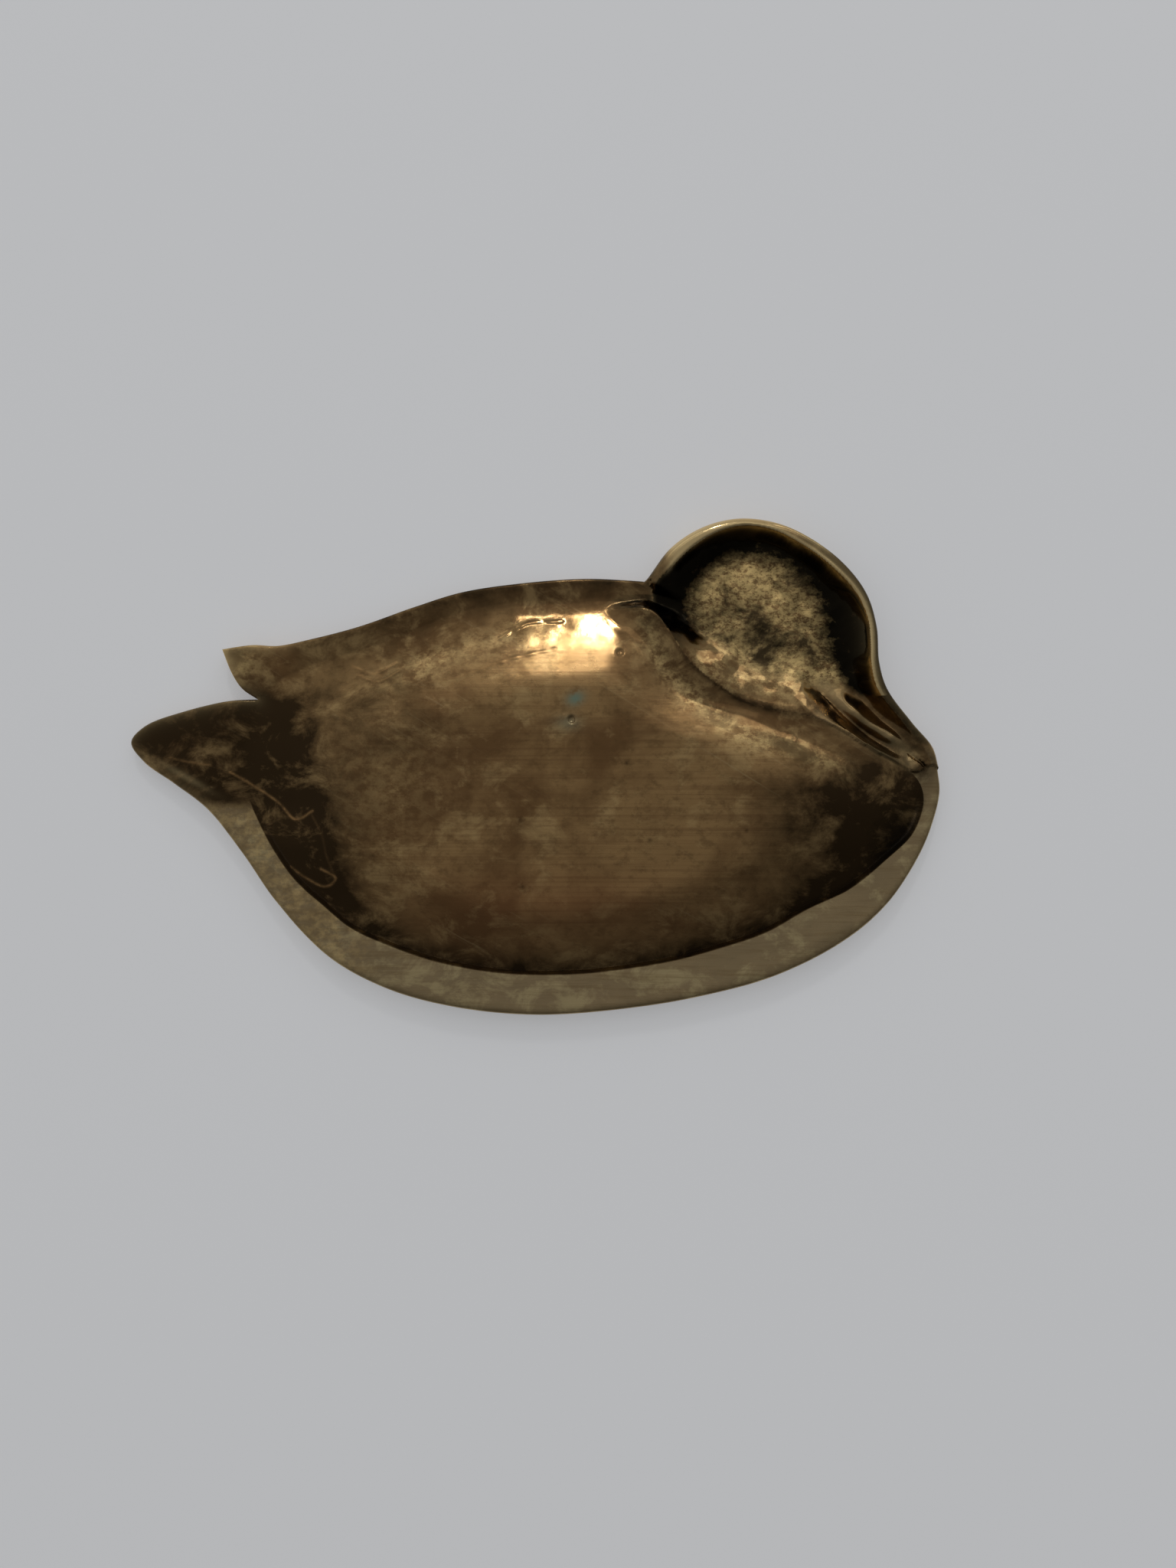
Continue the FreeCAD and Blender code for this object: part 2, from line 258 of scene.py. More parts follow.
def evenly(line, gap, closed=False):
    """The same line with points at an even gap, ends kept."""
    if closed:
        line = np.concatenate([line, line[:1]])
    along_line = np.concatenate([[0], np.cumsum(np.hypot(*np.diff(line, axis=0).T))])
    marks = np.linspace(0, along_line[-1], int(round(along_line[-1] / gap)) + 1)
    out = np.stack([np.interp(marks, along_line, line[:, k]) for k in (0, 1)], 1)
    return out[:-1] if closed else out


def within(loop, p):
    """Which points lie inside a closed loop."""
    x, y = p[:, 0], p[:, 1]
    odd = np.zeros(len(p), bool)
    for (x0, y0), (x1, y1) in zip(loop, np.roll(loop, -1, 0)):
        if y0 != y1:
            odd ^= ((y0 > y) != (y1 > y)) & (x < (x1 - x0) * (y - y0) / (y1 - y0) + x0)
    return odd


def away(line, p, closed=False):
    """Distance of each point from a line, by way of the line's nearest corner."""
    count = len(line)
    tree = kdtree.KDTree(count)
    for i, (x, y) in enumerate(line):
        tree.insert((x, y, 0), i)
    tree.balance()
    near = np.array([tree.find((x, y, 0))[1] for x, y in p])
    best = np.full(len(p), 1e9)
    for side in (-2, -1, 0, 1):
        start = (near + side) % count if closed else np.clip(near + side, 0, count - 2)
        a, b = line[start], line[(start + 1) % count]
        d = b - a
        t = np.clip(((p - a) * d).sum(1) / np.maximum((d * d).sum(1), 1e-12), 0, 1)
        best = np.minimum(best, ((p - a - t[:, None] * d) ** 2).sum(1))
    return np.sqrt(best)


def along(line, p, wide, closed=False):
    """Soft stripe, 1 on the line."""
    return np.exp(-(away(line, p, closed) / wide) ** 2)


def across(line):
    """Unit vectors square to a closed line, to the right of its run."""
    step = np.roll(line, -1, 0) - np.roll(line, 1, 0)
    return np.stack([step[:, 1], -step[:, 0]], 1) / np.hypot(*step.T)[:, None]


def reach(loop, middle, p):
    """Radius of a loop in each point's direction, and the point's own radius."""
    q = loop - middle
    angle = np.arctan2(q[:, 1], q[:, 0])
    order = np.argsort(angle)
    angle, radius = angle[order], np.hypot(*q.T)[order]
    angle = np.concatenate([angle[-3:] - 2 * math.pi, angle, angle[:3] + 2 * math.pi])
    radius = np.concatenate([radius[-3:], radius, radius[:3]])
    r = p - middle
    return np.interp(np.arctan2(r[:, 1], r[:, 0]), angle, radius), np.hypot(*r.T)


def ease(t):
    """0 to 1 with a soft start and end."""
    t = np.clip(t, 0, 1)
    return t * t * (3 - 2 * t)


def fade(value, start, span):
    """0 at the start, eased to 1 over the span. A span below zero runs downward."""
    return ease((value - start) / span)


def rounded(distance, radius):
    """Drop of a rounded edge at a distance from the outline."""
    return radius * (1 - np.sqrt(np.clip(1 - (1 - np.clip(distance / radius, 0, 1)) ** 2, 0, 1)))


def blob(p, x, y, wide, tall=None, turn=0.0):
    """Soft spot, 1 at its middle."""
    c, s = math.cos(turn), math.sin(turn)
    u, v = p[:, 0] - x, p[:, 1] - y
    return np.exp(-((c * u + s * v) / wide) ** 2 - ((c * v - s * u) / (tall or wide)) ** 2)


def spots(p, table):
    """Sum of the soft spots of a table."""
    return sum(strength * blob(p, *place) for strength, *place in table)


def ripple(p, wave, seed, count=28):
    """Smooth random field of about unit size, with features about one wave apart."""
    rng = np.random.RandomState(seed)
    out = np.zeros(len(p))
    for _ in range(count):
        turn, phase, stretch = rng.uniform(0, 2 * math.pi), rng.uniform(0, 2 * math.pi), rng.uniform(0.7, 1.6)
        k = 2 * math.pi / (wave * stretch)
        out += np.sin(k * (math.cos(turn) * p[:, 0] + math.sin(turn) * p[:, 1]) + phase)
    return out * math.sqrt(2 / count)


outline = np.concatenate([evenly(smooth_line(mm(c), False), OUTLINE_GAP)[:-1]
                          for c in (BACK, HEAD, BELLY, WING_TIP)])
crease = smooth_line(mm(CREASE), True)
hollow_edge = smooth_line(mm(HOLLOW_EDGE), True)
hollow_floor = smooth_line(mm(HOLLOW_FLOOR), True)
upper_bar = smooth_line(mm(UPPER_BAR), False)
lower_bar = smooth_line(mm(LOWER_BAR), False)
lip_line = smooth_line(mm(HOLLOW_EDGE[BEAK_TIP_INDEX:] + HOLLOW_EDGE[:1]), False)
head_loop = np.concatenate([smooth_line(mm(HEAD), False), lip_line])
centre = mm(BODY_CENTRE)
head_centre = np.array(HEAD_CENTRE)


def body_share(p):
    """0 at the body's middle, 1 at the crease. Away from the crease its corners are eased."""
    radius, r = reach(crease, centre, p)
    angles = np.linspace(-math.pi, math.pi, 721)[:-1]
    around, _ = reach(crease, centre, centre + np.stack([np.cos(angles), np.sin(angles)], 1))
    window = np.hanning(35)
    eased = np.convolve(np.concatenate([around[-17:], around, around[:17]]), window / window.sum(), "valid")
    step = p - centre
    angle = np.arctan2(step[:, 1], step[:, 0])
    eased = np.interp(angle, np.append(angles, math.pi), np.append(eased, eased[0]))
    return r / (radius + (eased - radius) * ease((1 - r / radius) / 0.2))


def swell(p):
    """Height of the body above the crease. It is crisp on the belly side and soft towards the back."""
    u = np.maximum((1 - body_share(p)) / (1 - FOOT_SHARE), 0)
    crisp = CRISP_STEP * ease(u / CRISP_RUN) + CRISP_SLOPE * u
    soft = SOFT_SLOPE * (u - SOFT_RUN * (1 - np.exp(-u / SOFT_RUN))) - SOFT_BEND * u ** 2
    tail_side = fade(p[:, 0], -34.0, -14.0) * fade(p[:, 1], -16.0, 10.0)
    straight = crisp + (soft - crisp) * np.maximum(fade(p[:, 1], -5.0, 20.0), tail_side)
    h = np.clip(0.5 + 0.5 * (straight - 1) / FOOT_BLEND, 0, 1)
    return (FOOT_Z - CREASE_Z) * (straight + (1 - straight) * h - FOOT_BLEND * h * (1 - h))


def hollow_share(p):
    """0 at the edge of the head's hollow and 1 on its floor, and how far a point is on its low side."""
    edge, r = reach(hollow_edge, head_centre, p)
    floor, _ = reach(hollow_floor, head_centre, p)
    low_side, left_side = [fade((p - head_centre) @ np.array(way) / np.maximum(r, 0.1), 0.2, 0.7)
                           for way in (LOW_WAY, LEFT_WAY)]
    floor = floor * (1 - 0.30 * low_side) * (1 - 0.16 * left_side)
    t = np.clip((edge - r) / np.maximum(edge - floor, 0.4), 0, 1)
    return np.where(within(hollow_edge, p), t, 0), low_side


def lip_height(p, share, body, from_lip):
    """The lip between the body and the head's hollow, which sinks into the body at the neck."""
    lip = BEAK_RIM_Z + (LIP_Z - BEAK_RIM_Z) * fade(p[:, 1], 2.0, 18.0) - LIP_CURVE * from_lip ** 2
    neck = fade(p[:, 1], 25.0, 5.0) * (1 - ease((1 - share) * NECK_REACH / NECK_RUN))
    return lip + (body - LIP_BLEND - lip) * neck


def plain_height(p):
    """Rim, body and the lip between the body and the head, as if the head had no hollow."""
    share = body_share(p)
    band = CREASE_Z + (RIM_Z - CREASE_Z) * np.clip(away(crease, p, True) / BAND_RUN, 0, BAND_TOP_SHARE)
    # Points on the outline itself are read a little inside it.
    head = within(head_loop, p + (head_centre - p) * INWARD_SHARE)
    rim = BEAK_RIM_Z + (HEAD_RIM_Z - BEAK_RIM_Z) * fade(p[:, 1], 0.0, 21.0)
    body = CREASE_Z + swell(p)
    from_lip = away(lip_line, p)
    lip = lip_height(p, share, body, from_lip)
    h = np.clip(0.5 + 0.5 * (lip - body) / LIP_BLEND, 0, 1)
    lipped = body + (lip - body) * h + LIP_BLEND * 0.5 * h * (1 - h)
    body = body + (lipped - body) * fade(from_lip, LIP_REACH, -LIP_RUN)
    outer = np.where(head, body + (rim - body) * ease((share - 1) * HEAD_REACH / HEAD_RUN), band)
    return np.where(share < 1, body, outer)


def sink_hollow(p, z, t, low_side):
    """The hollow of the head, which falls from its edge to its floor."""
    sunk = t > 0
    edge, r = reach(hollow_edge, head_centre, p[sunk])
    at_edge = z.copy()
    outward = (p[sunk] - head_centre) * (edge / np.maximum(r, 0.1))[:, None]
    at_edge[sunk] = plain_height(head_centre + outward)
    floor = HEAD_FLOOR_Z + 0.09 * ripple(p, 6.0, 5) + 0.022 * ripple(p, 2.0, 6)
    floor = floor + BEAK_FLOOR_RISE * fade(p[:, 0], 65.0, 9.0)
    fall = np.sin(math.pi / 2 * t)
    fall = fall + (ease(t) * 0.4 + t * 0.6 - fall) * low_side
    return np.where(sunk, at_edge + (floor - at_edge) * fall, z)


def beak_bars(p):
    """Two bars that rise in the beak and end before its tip."""
    z = np.zeros(len(p))
    for bar, (high, wide) in ((upper_bar, UPPER_BAR_SIZE), (lower_bar, LOWER_BAR_SIZE)):
        from_root, from_tip = np.hypot(*(p - bar[0]).T), np.hypot(*(p - bar[-1]).T)
        ends = ease(from_root / BAR_ROOT_RUN) * ease(from_tip / BAR_TIP_RUN)
        z += high * ends * along(bar, p, wide)
    return z


def cast_relief(p):
    """Unevenness of the casting, calmer on the shoulder, with its lines and pits."""
    z = 0.024 * ripple(p, 10.0, 1) * (1 - 0.75 * blob(p, 0.0, 22.0, 26.0, 12.0))
    z += 0.007 * ripple(p, 4.0, 2) + 0.002 * ripple(p, 1.6, 3)
    broken = 1 + 0.5 * ripple(p, 3.0, 8)
    for points, high, wide in LINES:
        z += LINE_RISE_SHARE * high * broken * along(smooth_line(points, False, 6), p, wide)
    for x, y, radius, deep, lip in PITS:
        r = np.hypot(p[:, 0] - x, p[:, 1] - y)
        z += lip * np.exp(-((r - 1.4 * radius) / (0.35 * radius)) ** 2) - deep * np.exp(-(r / radius) ** 4)
    return z


def top_height(p):
    """Height of the side that shows."""
    x, y = p.T
    d = away(outline, p, True)
    t, low_side = hollow_share(p)
    z = sink_hollow(p, plain_height(p), t, low_side) + beak_bars(p) * (t > 0)
    # A fine bead runs round the hollow where the head's rim is narrow.
    z = z + BEAD_RISE * fade(x, 52.0, 5.0) * fade(y, 11.0, 5.0) * along(hollow_edge, p, 0.5, True)
    # The tail thins to its tip, and the wing tip turns up along its free edge.
    z = z - (RIM_Z - TAIL_TIP_Z) * fade(x, -54.0, -26.0)
    z = z + WING_RISE * fade(x, -50.0, -12.0) * fade(y, 12.0, 4.0) * np.exp(-d / 1.6)
    z = z + cast_relief(p)
    crown = fade(x, 20.0, 4.0) * fade(y, 24.0, 8.0) * fade(x, 52.0, -8.0)
    return np.minimum(z, FOOT_Z + FOOT_RELIEF) - rounded(d, EDGE_RADIUS + CROWN_EXTRA_RADIUS * crown)


def under_height(p):
    """The rim's flat underside, and the bowl one wall under the body."""
    share = body_share(p)
    bowl = np.minimum((1 - share) * UNDER_REACH, CREASE_Z - WALL + swell(p))
    z = np.maximum(np.where(share < 1, bowl, 0.0), 0)
    return z + rounded(away(outline, p, True), UNDER_RADIUS) + 0.03 * ripple(p, 6.0, 9) ** 2 * (share < 1)


def grid_over_outline(gap):
    """Points of an even triangular grid that covers the outline."""
    low, high = outline.min(0) - 0.5, outline.max(0) + 0.5
    row = np.arange(low[0], high[0], gap)
    rows = np.arange(low[1], high[1], gap * TRIANGLE_HEIGHT)
    return np.concatenate([np.column_stack([row + (gap / 2 if k % 2 else 0), np.full(len(row), y)])
                           for k, y in enumerate(rows)])


def inside(p, margin):
    """The points that lie inside the outline by more than a margin."""
    p = p[within(outline, p)]
    return p[away(outline, p, True) > margin]


def rings(offsets):
    """Rows of points that follow the outline on its inside."""
    return [inside(outline + across(outline) * offset, 0.9 * offset) for offset in offsets]


def detailed(p):
    """Where the surface needs close points: the hollow of the head, drawn lines and pits."""
    close = within(hollow_edge, p) | (away(hollow_edge, p, True) < 1.6)
    for points, _, _ in LINES:
        close |= away(np.array(points), p) < 1.1
    for x, y, radius, _, _ in PITS:
        close |= np.hypot(p[:, 0] - x, p[:, 1] - y) < 2.2 * radius
    return close


def top_points():
    """Rings by the edge, strips along the crease, and a grid that is finer where detail asks."""
    coarse, fine = grid_over_outline(TOP_GAP), grid_over_outline(DETAIL_GAP)
    grid = inside(np.concatenate([coarse[~detailed(coarse)], fine[detailed(fine)]]), TOP_MARGIN)
    line = evenly(crease, TOP_CREASE_GAP, True)
    strips = np.concatenate([line + across(line) * offset for offset in (-0.22, 0.0, 0.22)])
    grid = grid[away(crease, grid, True) > 0.42]
    return np.concatenate(rings(TOP_RINGS) + [inside(strips, TOP_MARGIN), grid])


def under_points():
    """Rings by the edge, strips where the bowl begins, and a wide grid."""
    grid = inside(grid_over_outline(UNDER_GAP), UNDER_MARGIN)
    line = evenly(crease, UNDER_CREASE_GAP, True)
    strips = np.concatenate([centre + (line - centre) * share for share in (1.002, 0.995, 0.975)])
    grid = grid[away(crease, grid, True) > 1.2]
    return np.concatenate(rings(UNDER_RINGS) + [inside(strips, UNDER_MARGIN), grid])


def sheet(points):
    """Triangles over the outline, through the outline's own points first."""
    count = len(outline)
    coords = [Vector(q) for q in np.concatenate([outline, points])]
    edges = [(i, (i + 1) % count) for i in range(count)]
    verts, _, faces, *_ = geometry.delaunay_2d_cdt(coords, edges, [], 0, 1e-5, True)
    verts, faces = np.array([tuple(v) for v in verts]), np.array([tuple(f) for f in faces])
    return verts, faces[within(outline, verts[faces].mean(1))].tolist()


def casting_mesh():
    """Top, wall and underside as one closed mesh, its flat places and the number of top points."""
    top, top_faces = sheet(top_points())
    under, under_faces = sheet(under_points())
    n = len(outline)
    top_z, under_z = top_height(top), under_height(under)
    layers = [np.column_stack([top, top_z])]
    for t in WALL_ROWS:
        z = top_z[:n] + (under_z[:n] - top_z[:n]) * t
        layers.append(np.column_stack([outline - across(outline) * (WALL_BULGE * math.sin(math.pi * t)), z]))
    layers.append(np.column_stack([under, under_z]))
    starts = [0] + [len(top) + n * k for k in range(len(WALL_ROWS) + 1)]
    faces = list(top_faces)
    for a, b in zip(starts, starts[1:]):
        for i in range(n):
            j = (i + 1) % n
            faces.append((a + i, a + j, b + j, b + i))
    base = starts[-1]
    faces += [(base + a, base + c, base + b) for a, b, c in under_faces]
    mesh = bpy.data.meshes.new("duck_casting_skin")
    mesh.from_pydata((np.concatenate(layers) * MM).tolist(), [], faces)
    mesh.update()
    mesh.polygons.foreach_set("use_smooth", [True] * len(mesh.polygons))
    return mesh, np.concatenate([layer[:, :2] for layer in layers]), len(top)


class Places:
    """Points of the skin with what its masks are read from."""

    def __init__(self, p):
        self.p = p
        self.x, self.y = p.T
        self.share = body_share(p)
        self.from_edge = away(outline, p, True)
        self.t, self.low_side = hollow_share(p)
        self.plain = self.t == 0
        # The band on the belly side: brushed, and painted paler as it faces the lamps.
        self.low_band = (self.share > 1) * self.plain * np.maximum(
            fade(self.y, -5.5, -3.5), fade(self.x, 40.0, 20.0) * fade(self.y, 6.0, -8.0))
        # The back side, whose crease and outer edge get painted shade.
        self.back = fade(self.y, 0.0, 8.0) * fade(self.x, 28.0, -3.0) * fade(self.x, -50.0, 6.0)
        # The outer edge of the head's rim, on the side of the beak, which gets painted shade.
        self.outer = (fade(self.x, 55.0, 4.0) * fade(self.y, 10.0, 5.0)
                      * np.exp(-(self.from_edge / 0.8) ** 2))

    def dirt(self):
        """Painted shade with some dirt: darker at the tail, and painted shade in the chest corner, inside the
        crease, round the beak, by the lip, in the hollow and along the back's seam and edges.
        """
        x, y, share, plain = self.x, self.y, self.share, self.plain
        # Painted shade inside the crease on the belly side, round the beak, beside the lip and along the
        # hollow's low edge; darker towards the tail.
        dirt = (spots(self.p, SHADE_AND_DIRT_SPOTS)
                + 0.85 * fade(x + 0.25 * y, -28.0, -22.0) * fade(y, 20.0, -8.0)
                + 0.75 * np.exp(-((share - 0.97) / 0.09) ** 2) * fade(y, 3.0, -7.0) * (share < 1)
                + 0.95 * fade(x, 50.0, 5.0) * fade(y, 3.0, 4.0) * plain * (share > 1)
                + 0.45 * fade(away(lip_line, self.p), 6.5, -4.0) * (share < 1) * plain * fade(y, 8.0, 6.0)
                + 0.5 * along(hollow_edge, self.p, 0.8, True) * self.low_side * (y > 8.0))
        # Painted shade along the back's crease and outer edge, and in the hollow towards the beak.
        seam = np.exp(-(np.maximum(1 - share, 0) / 0.085) ** 2) * plain
        edge = 0.40 * seam * ease(self.from_edge / 1.2) + 0.9 * np.exp(-self.from_edge / 0.9)
        dirt = dirt + edge * self.back + 0.45 * (self.t > 0) * fade(y, 17.0, -5.0)
        # The hollow's low wall faces the lamps and gets no painted shade; nor does the belly band.
        lit_wall = 0.9 * self.low_side * (self.t > 0.12) * (y > 12.0)
        dirt = np.clip(dirt, 0, 1) * (1 - self.low_band) * (1 - lit_wall)
        for strength, *place in FIRM_SHADE_AND_DIRT_SPOTS:
            dirt = np.maximum(dirt, strength * blob(self.p, *place))
        # Painted shade along the belly band's outer edge and along the outer edge of the head's rim.
        dirt = np.maximum(dirt, 0.35 * np.exp(-(self.from_edge / 0.9) ** 2) * self.low_band)
        return np.maximum(dirt, 0.9 * self.outer)

    def painted_shadow(self):
        """Painted black shadow that the rim casts round the hollow's floor, and painted shade at the neck, by
        the beak and in the chest corner.
        """
        floor_edge, r = reach(hollow_floor, head_centre, self.p)
        deep = np.maximum(fade(self.t, 1.02, -0.40), fade(r / floor_edge, 0.55, 0.55))
        painted_shadow = (self.t > 0.01) * deep * (1 - self.low_side) * fade(self.y, 12.0, 4.0)
        beak = fade(self.x, 60.0, 4.0) * fade(self.y, 3.0, 3.0) * np.exp(-(self.from_edge / 2.4) ** 2)
        painted_shadow = painted_shadow + spots(self.p, SHADOW_SPOTS) + 0.7 * beak * (self.share > 1)
        painted_shadow = np.maximum(painted_shadow, spots(self.p, [NECK_SHADOW]))
        return painted_shadow + spots(self.p, [CHEST_SHADOW]) * (self.share < 1)

    def line(self):
        """The drawn lines, with one blot by the beak's root."""
        stripes = sum(high / LINE_FULL_HEIGHT * along(smooth_line(q, False, 6), self.p, LINE_MARK_WIDTH)
                      for q, high, _ in LINES)
        return np.clip(stripes + spots(self.p, [LINE_SPOT]), 0, 1)

    def rubbed_and_glint(self):
        """Metal rubbed bright on the edges and the head's crown, and painted highlights on the head's rim,
        the wing tip, the tail and the bars.
        """
        x, y = self.x, self.y
        head_edge = np.maximum(fade(y, 27.0, 6.0), fade(x, 54.0, 4.0) * (y > 14.0))
        rubbed_and_glint = (np.exp(-self.from_edge / 0.9) * (0.25 + 0.65 * fade(x, 20.0, 4.0) * fade(y, 10.0, 10.0))
                  + 1.2 * along(hollow_edge, self.p, 0.45, True) * head_edge
                  + spots(self.p, GLINT_SPOTS) + spots(self.p, [CROWN_RUBBED_AND_GLINT]) * self.plain
                  + 0.30 * along(upper_bar, self.p, 1.3) + 0.15 * along(lower_bar, self.p, 1.1))
        return rubbed_and_glint * (1 - 0.9 * self.back) * (1 - 0.9 * self.outer)

    def gold_and_sheen(self):
        """Painted highlights and reflections on the body's crest, the shoulder and the wing tip, painted
        light on the hollow's low wall and the belly band's left end, and some brighter metal.
        """
        return (0.9 * along(smooth_line(LIT_CREST, False, 6), self.p, 2.2) + spots(self.p, GOLD_AND_SHEEN_SPOTS)
                + 0.8 * (self.t > 0) * self.low_side * fade(self.y, 12.0, 4.0)
                + 0.5 * self.low_band * fade(self.x, -28.0, -14.0))


def masks(p, top_count):
    """Where the metal is brushed, rough, dirty or rubbed bright, and where shade, shadow, highlights and
    light are painted, from the shape alone.
    """
    at = Places(p)
    on_top = np.arange(len(p)) < top_count
    values = {
        "band": at.low_band, "dirt": at.dirt(), "painted_shadow": at.painted_shadow(), "line": at.line(),
        "rubbed_and_glint": at.rubbed_and_glint(), "gold_and_sheen": at.gold_and_sheen(), "foot": fade(at.share, 0.86, -0.2),
        "upper": on_top * fade(at.from_edge, 0.0, 0.8),
        "coarse": fade(at.t, 0.6, 0.35) * fade(at.y, 15.0, 4.0),
        "green": spots(p, GREEN_SPOTS), "red": spots(p, RED_SPOTS)}
    for value in values.values():
        value[~on_top] *= UNSEEN_SHARE
    # These three can add up to more than 1.
    for name in ("painted_shadow", "rubbed_and_glint", "gold_and_sheen"):
        values[name] = np.clip(values[name], 0, 1)
    return values


class Nodes:
    """Small helper that adds and joins the nodes of one tree."""

    def __init__(self, owner):
        owner.use_nodes = True
        self.tree = owner.node_tree

    def first(self, kind):
        """The first node of a kind that the tree already has."""
        return next(node for node in self.tree.nodes if node.type == kind)

    def node(self, kind, inputs=None, **values):
        node = self.tree.nodes.new(kind)
        for key, value in values.items():
            setattr(node, key, value)
        for key, value in (inputs or {}).items():
            self.put(node.inputs[key], value)
        return node

    def put(self, socket, value):
        """Gives a socket a value, or a link from another socket."""
        if isinstance(value, bpy.types.NodeSocket):
            self.tree.links.new(value, socket)
        else:
            socket.default_value = value

    def math(self, operation, *values, clamp=False):
        node = self.node("ShaderNodeMath", operation=operation, use_clamp=clamp)
        for socket, value in zip(node.inputs, values):
            self.put(socket, value)
        return node.outputs[0]

    def times(self, *values, clamp=False):
        return self.math("MULTIPLY", *values, clamp=clamp)

    def total(self, *values, clamp=False):
        """Sum of any number of values."""
        result = values[0]
        for value in values[1:-1]:
            result = self.math("ADD", result, value)
        return self.math("ADD", result, values[-1], clamp=clamp)

    def attribute(self, name):
        return self.node("ShaderNodeAttribute", attribute_name=name).outputs["Fac"]

    def coords(self, scale=(1, 1, 1), turn=0.0):
        place = self.node("ShaderNodeTexCoord").outputs["Object"]
        turned = self.node("ShaderNodeMapping", {"Vector": place, "Rotation": (0, 0, turn)}).outputs[0]
        return self.node("ShaderNodeMapping", {"Vector": turned, "Scale": scale}).outputs[0]

    def noise(self, scale, stretch=(1, 1, 1), detail=4.0, rough=0.55, warp=0.0, turn=0.0):
        return self.node("ShaderNodeTexNoise", {
            "Vector": self.coords(stretch, turn), "Scale": scale, "Detail": detail,
            "Roughness": rough, "Distortion": warp}).outputs["Fac"]

    def ramp(self, value, low, high):
        """0 at the low value and 1 at the high one, which may be the smaller."""
        return self.node("ShaderNodeMapRange", {
            "Value": value, "From Min": low, "From Max": high}, clamp=True).outputs[0]

    def mix(self, share, first, second):
        node = self.node("ShaderNodeMix", data_type="RGBA")
        for index, value in ((0, share), (6, first), (7, second)):
            self.put(node.inputs[index], value)
        return node.outputs[2]


def brass_fields(s):
    """Noises and masks that the brass is made from."""
    fields = {name: s.attribute(name) for name in (
        "band", "dirt", "painted_shadow", "line", "rubbed_and_glint", "gold_and_sheen", "foot", "upper", "coarse", "green", "red")}
    fields["clouds"] = s.noise(48, (1, 1.3, 1), 7, 0.62, 0.25)
    fields["patches"] = s.noise(150, (0.8, 1, 1), 10, 0.68, 0.35)
    fields["mottle"] = s.noise(520, (0.8, 1, 1), 8, 0.7)
    fields["grain"] = s.noise(2200, (1, 1, 1), 4)
    fields["specks"] = s.noise(1300, (0.7, 1, 1), 6, 0.75)
    fields["scratch"] = s.noise(420, (0.03, 3.0, 1), 8, 0.72)
    fields["cross"] = s.noise(380, (0.04, 3.0, 1), 6, 0.7, 0.0, 0.55)
    fields["brushed"] = s.noise(420, (0.15, 3.0, 1), 6, 0.7)
    uneven = s.total(0.55, s.ramp(fields["patches"], 0.65, 0.35))
    # Painted shade and dirt, broken up by the patches.
    fields["dirty"] = s.times(fields["dirt"], uneven, clamp=True)
    return fields


def brass_colour(s, f):
    """Each layer covers the ones before it by its share."""
    patches, mottle, band, coarse, gold_and_sheen = f["patches"], f["mottle"], f["band"], f["coarse"], f["gold_and_sheen"]
    layers = [
        (s.times(s.ramp(patches, 0.52, 0.64), 0.60), PALE_GOLD),
        (s.times(s.ramp(mottle, 0.50, 0.36), 0.45), DARK_FLECK),
        (s.times(s.ramp(f["cross"], 0.60, 0.72), s.times(f["upper"], 0.35)), WORN_SCRATCH),
        (s.times(s.ramp(f["scratch"], 0.48, 0.66), s.times(f["foot"], 0.50)), FOOT_SCRATCH),
        (s.times(f["red"], 0.5), RED_BROWN),
        # The belly band, painted paler as lit, with its brushed scratches.
        (s.times(band, 0.8), LIT_BAND_BROWN),
        (s.times(s.ramp(patches, 0.50, 0.60), s.times(band, 0.6)), LIT_BAND_GOLD),
        (s.times(s.ramp(f["brushed"], 0.48, 0.68), s.times(band, 0.50)), BAND_SCRATCH),
        # Painted highlights and light, with some brighter metal.
        (s.times(gold_and_sheen, s.ramp(mottle, 0.44, 0.60)), GOLD_AND_SHEEN),
        (s.times(gold_and_sheen, s.ramp(patches, 0.52, 0.40)), GOLD_SHADE),
        # Painted shade, with some dirt.
        (f["dirty"], SHADE_AND_DIRT_BROWN),
        (s.times(coarse, s.ramp(f["specks"], 0.42, 0.54)), BRIGHT_GRAIN),
        (s.times(coarse, s.ramp(patches, 0.58, 0.36)), DARK_GRAIN),
        # Painted shadow and shade, broken up by the mottle.
        (s.ramp(s.total(f["painted_shadow"], s.times(mottle, 1.1)), 0.70, 1.45), SHADOW_BLACK),
        (s.times(f["green"], s.ramp(mottle, 0.34, 0.46)), GREEN),
        (s.times(f["line"], s.times(s.ramp(mottle, 0.30, 0.60), 0.85)), LINE_BROWN),
        # Rubbed metal and painted highlights.
        (s.times(f["rubbed_and_glint"], 0.80), RUBBED_AND_GLINT),
    ]
    colour = s.mix(s.ramp(f["clouds"], 0.40, 0.60), BROWN, WARM_BROWN)
    for share, tint in layers:
        colour = s.mix(share, colour, tint)
    return colour


def brass_roughness(s, f):
    """Polished metal that scratches, brushing, grain and the mask of painted shade and dirt make duller."""
    return s.total(
        0.07, s.times(s.ramp(f["clouds"], 0.35, 0.7), 0.06), s.times(f["foot"], 0.16),
        s.times(f["band"], 0.16), s.times(f["dirty"], 0.18), s.times(f["coarse"], 0.30), clamp=True)


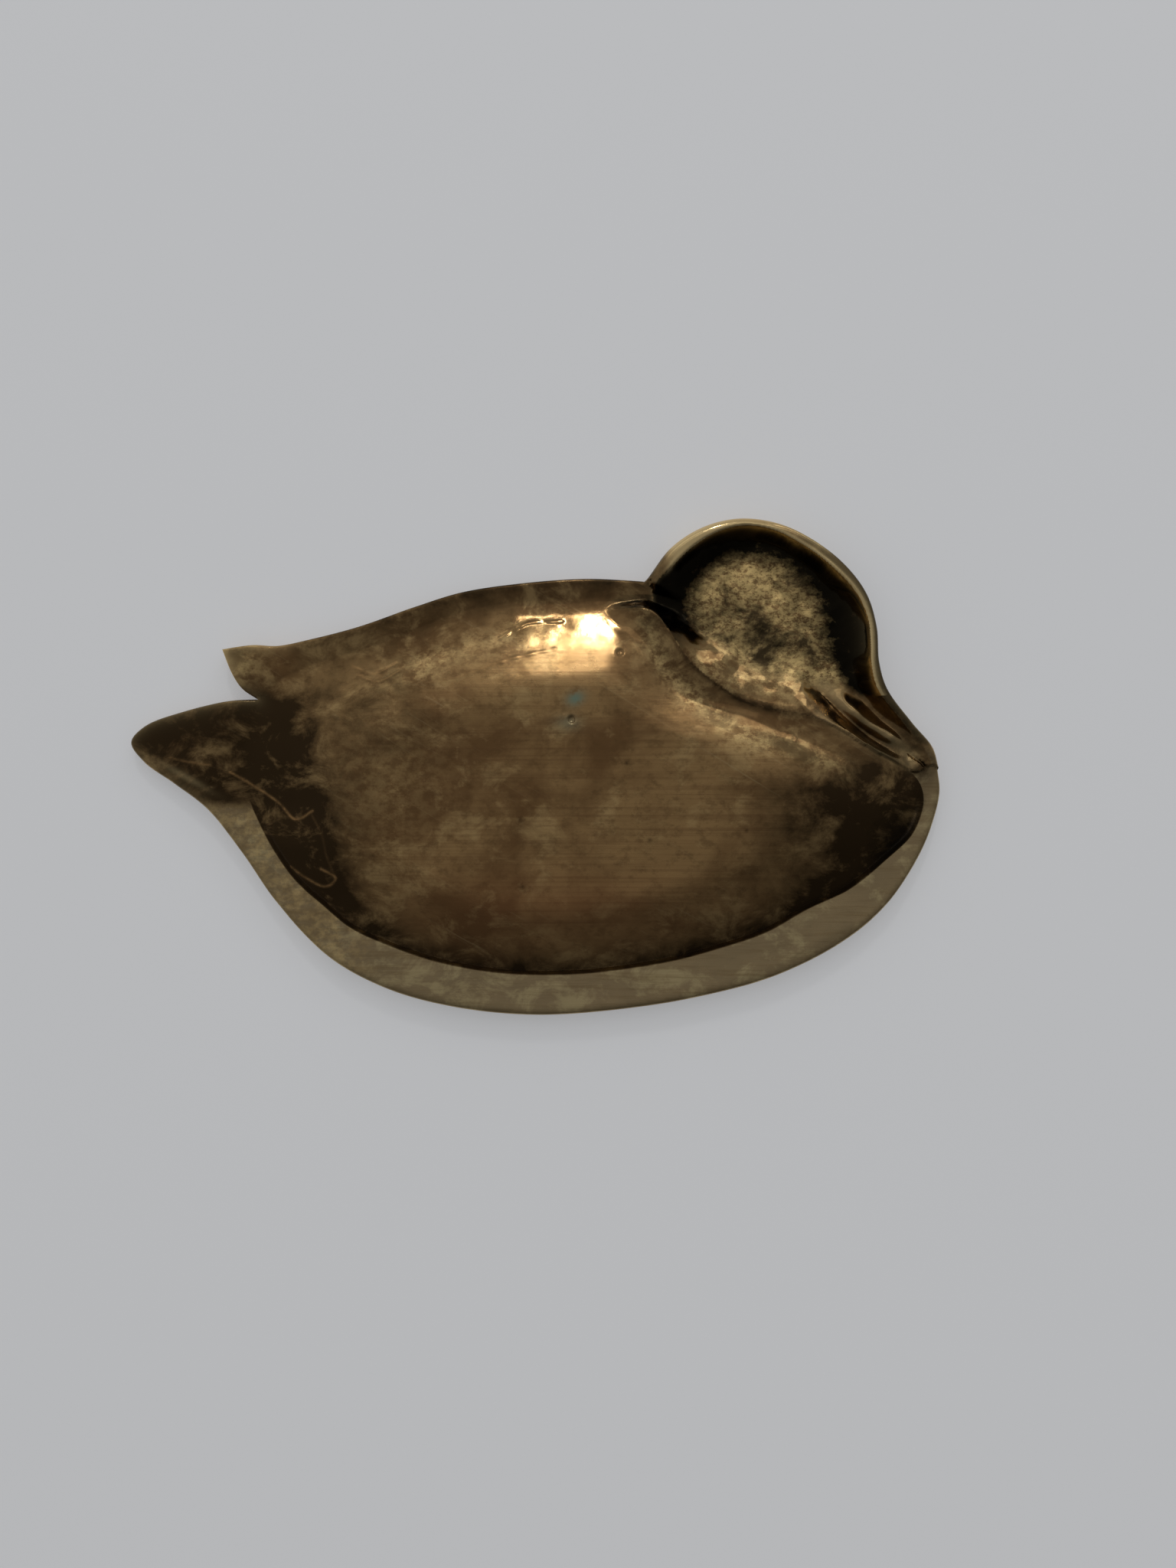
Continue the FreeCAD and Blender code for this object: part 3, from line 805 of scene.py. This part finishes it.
def brass_bump(s, f):
    """Fine relief of the grain, scratches and brushing."""
    height = s.total(
        s.times(f["grain"], 0.12), s.times(f["mottle"], s.total(0.06, s.times(f["foot"], 0.25))),
        s.times(s.times(f["scratch"], f["foot"]), 0.7), s.times(s.times(f["brushed"], f["band"]), 0.8),
        s.times(s.times(f["mottle"], f["coarse"]), 2.0))
    return s.node("ShaderNodeBump", {"Height": height, "Strength": 0.35, "Distance": 0.0001}).outputs[0]


def brass():
    """Aged cast brass, with painted shade, shadow and highlights."""
    material = bpy.data.materials.new("aged_brass")
    s = Nodes(material)
    fields = brass_fields(s)
    metal = s.first("BSDF_PRINCIPLED")
    s.put(metal.inputs["Base Color"], brass_colour(s, fields))
    s.put(metal.inputs["Roughness"], brass_roughness(s, fields))
    s.put(metal.inputs["Metallic"], 1.0)
    s.put(metal.inputs["Normal"], brass_bump(s, fields))
    return material


def build_casting():
    """The skin of the casting, which stands in for its solid."""
    mesh, flat, top_count = casting_mesh()
    for name, values in masks(flat, top_count).items():
        layer = mesh.attributes.new(name, "FLOAT", "POINT")
        layer.data.foreach_set("value", values.astype(np.float32))
    mesh.materials.append(brass())
    piece = bpy.data.objects.new("duck_casting_skin", mesh)
    bpy.context.collection.objects.link(piece)
    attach(piece, "root")
    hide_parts("duck_casting")


def build_floor():
    """A plain pale floor that glows a little where it is seen or mirrored."""
    bpy.ops.mesh.primitive_plane_add(size=FLOOR_SIZE)
    floor = bpy.context.object
    floor.name = "floor"
    material = bpy.data.materials.new("floor_cloth")
    s = Nodes(material)
    cloth = s.first("BSDF_PRINCIPLED")
    ray = s.node("ShaderNodeLightPath").outputs
    seen = s.total(ray["Is Camera Ray"], ray["Is Glossy Ray"], ray["Is Transmission Ray"])
    s.put(cloth.inputs["Base Color"], FLOOR_COLOUR)
    s.put(cloth.inputs["Roughness"], FLOOR_ROUGHNESS)
    s.put(cloth.inputs["Emission Color"], FLOOR_GLOW_COLOUR)
    s.put(cloth.inputs["Emission Strength"], s.times(s.math("MINIMUM", seen, 1.0), FLOOR_GLOW))
    floor.data.materials.append(material)


def build_world():
    """Soft light from all round, stronger from behind the back and a little weaker from the right."""
    world = bpy.data.worlds.new("studio")
    bpy.context.scene.world = world
    s = Nodes(world)
    way = s.node("ShaderNodeSeparateXYZ", {0: s.node("ShaderNodeTexCoord").outputs["Generated"]}).outputs
    light = s.math("MULTIPLY_ADD", way["Y"], WORLD_LIGHT_BACK, WORLD_LIGHT)
    light = s.math("MULTIPLY_ADD", way["X"], WORLD_LIGHT_RIGHT, light)
    light = s.node("ShaderNodeClamp", {"Value": light, "Min": WORLD_LEAST, "Max": WORLD_MOST}).outputs[0]
    background = s.first("BACKGROUND")
    s.put(background.inputs["Color"], WORLD_COLOUR)
    s.put(background.inputs["Strength"], light)


def build_lamps():
    """Area lamps that face the middle of the dish."""
    for name, place, size, power in LAMPS:
        light = bpy.data.lights.new(name, "AREA")
        light.shape = "RECTANGLE"
        light.size, light.size_y = size
        light.energy = power
        lamp = bpy.data.objects.new(name, light)
        lamp.location = place
        lamp.rotation_euler = (-Vector(place)).to_track_quat("-Z", "Y").to_euler()
        bpy.context.collection.objects.link(lamp)


def build_camera():
    """Camera that looks straight down on the dish."""
    camera = bpy.data.cameras.new("camera")
    camera.sensor_fit = "VERTICAL"
    camera.sensor_height = CAMERA_SENSOR
    camera.lens = CAMERA_LENS
    eye = bpy.data.objects.new("camera", camera)
    eye.location = CAMERA_PLACE
    bpy.context.collection.objects.link(eye)
    bpy.context.scene.camera = eye


build_camera()
build_casting()
build_floor()
build_world()
build_lamps()
bpy.context.scene.view_settings.view_transform = "Standard"
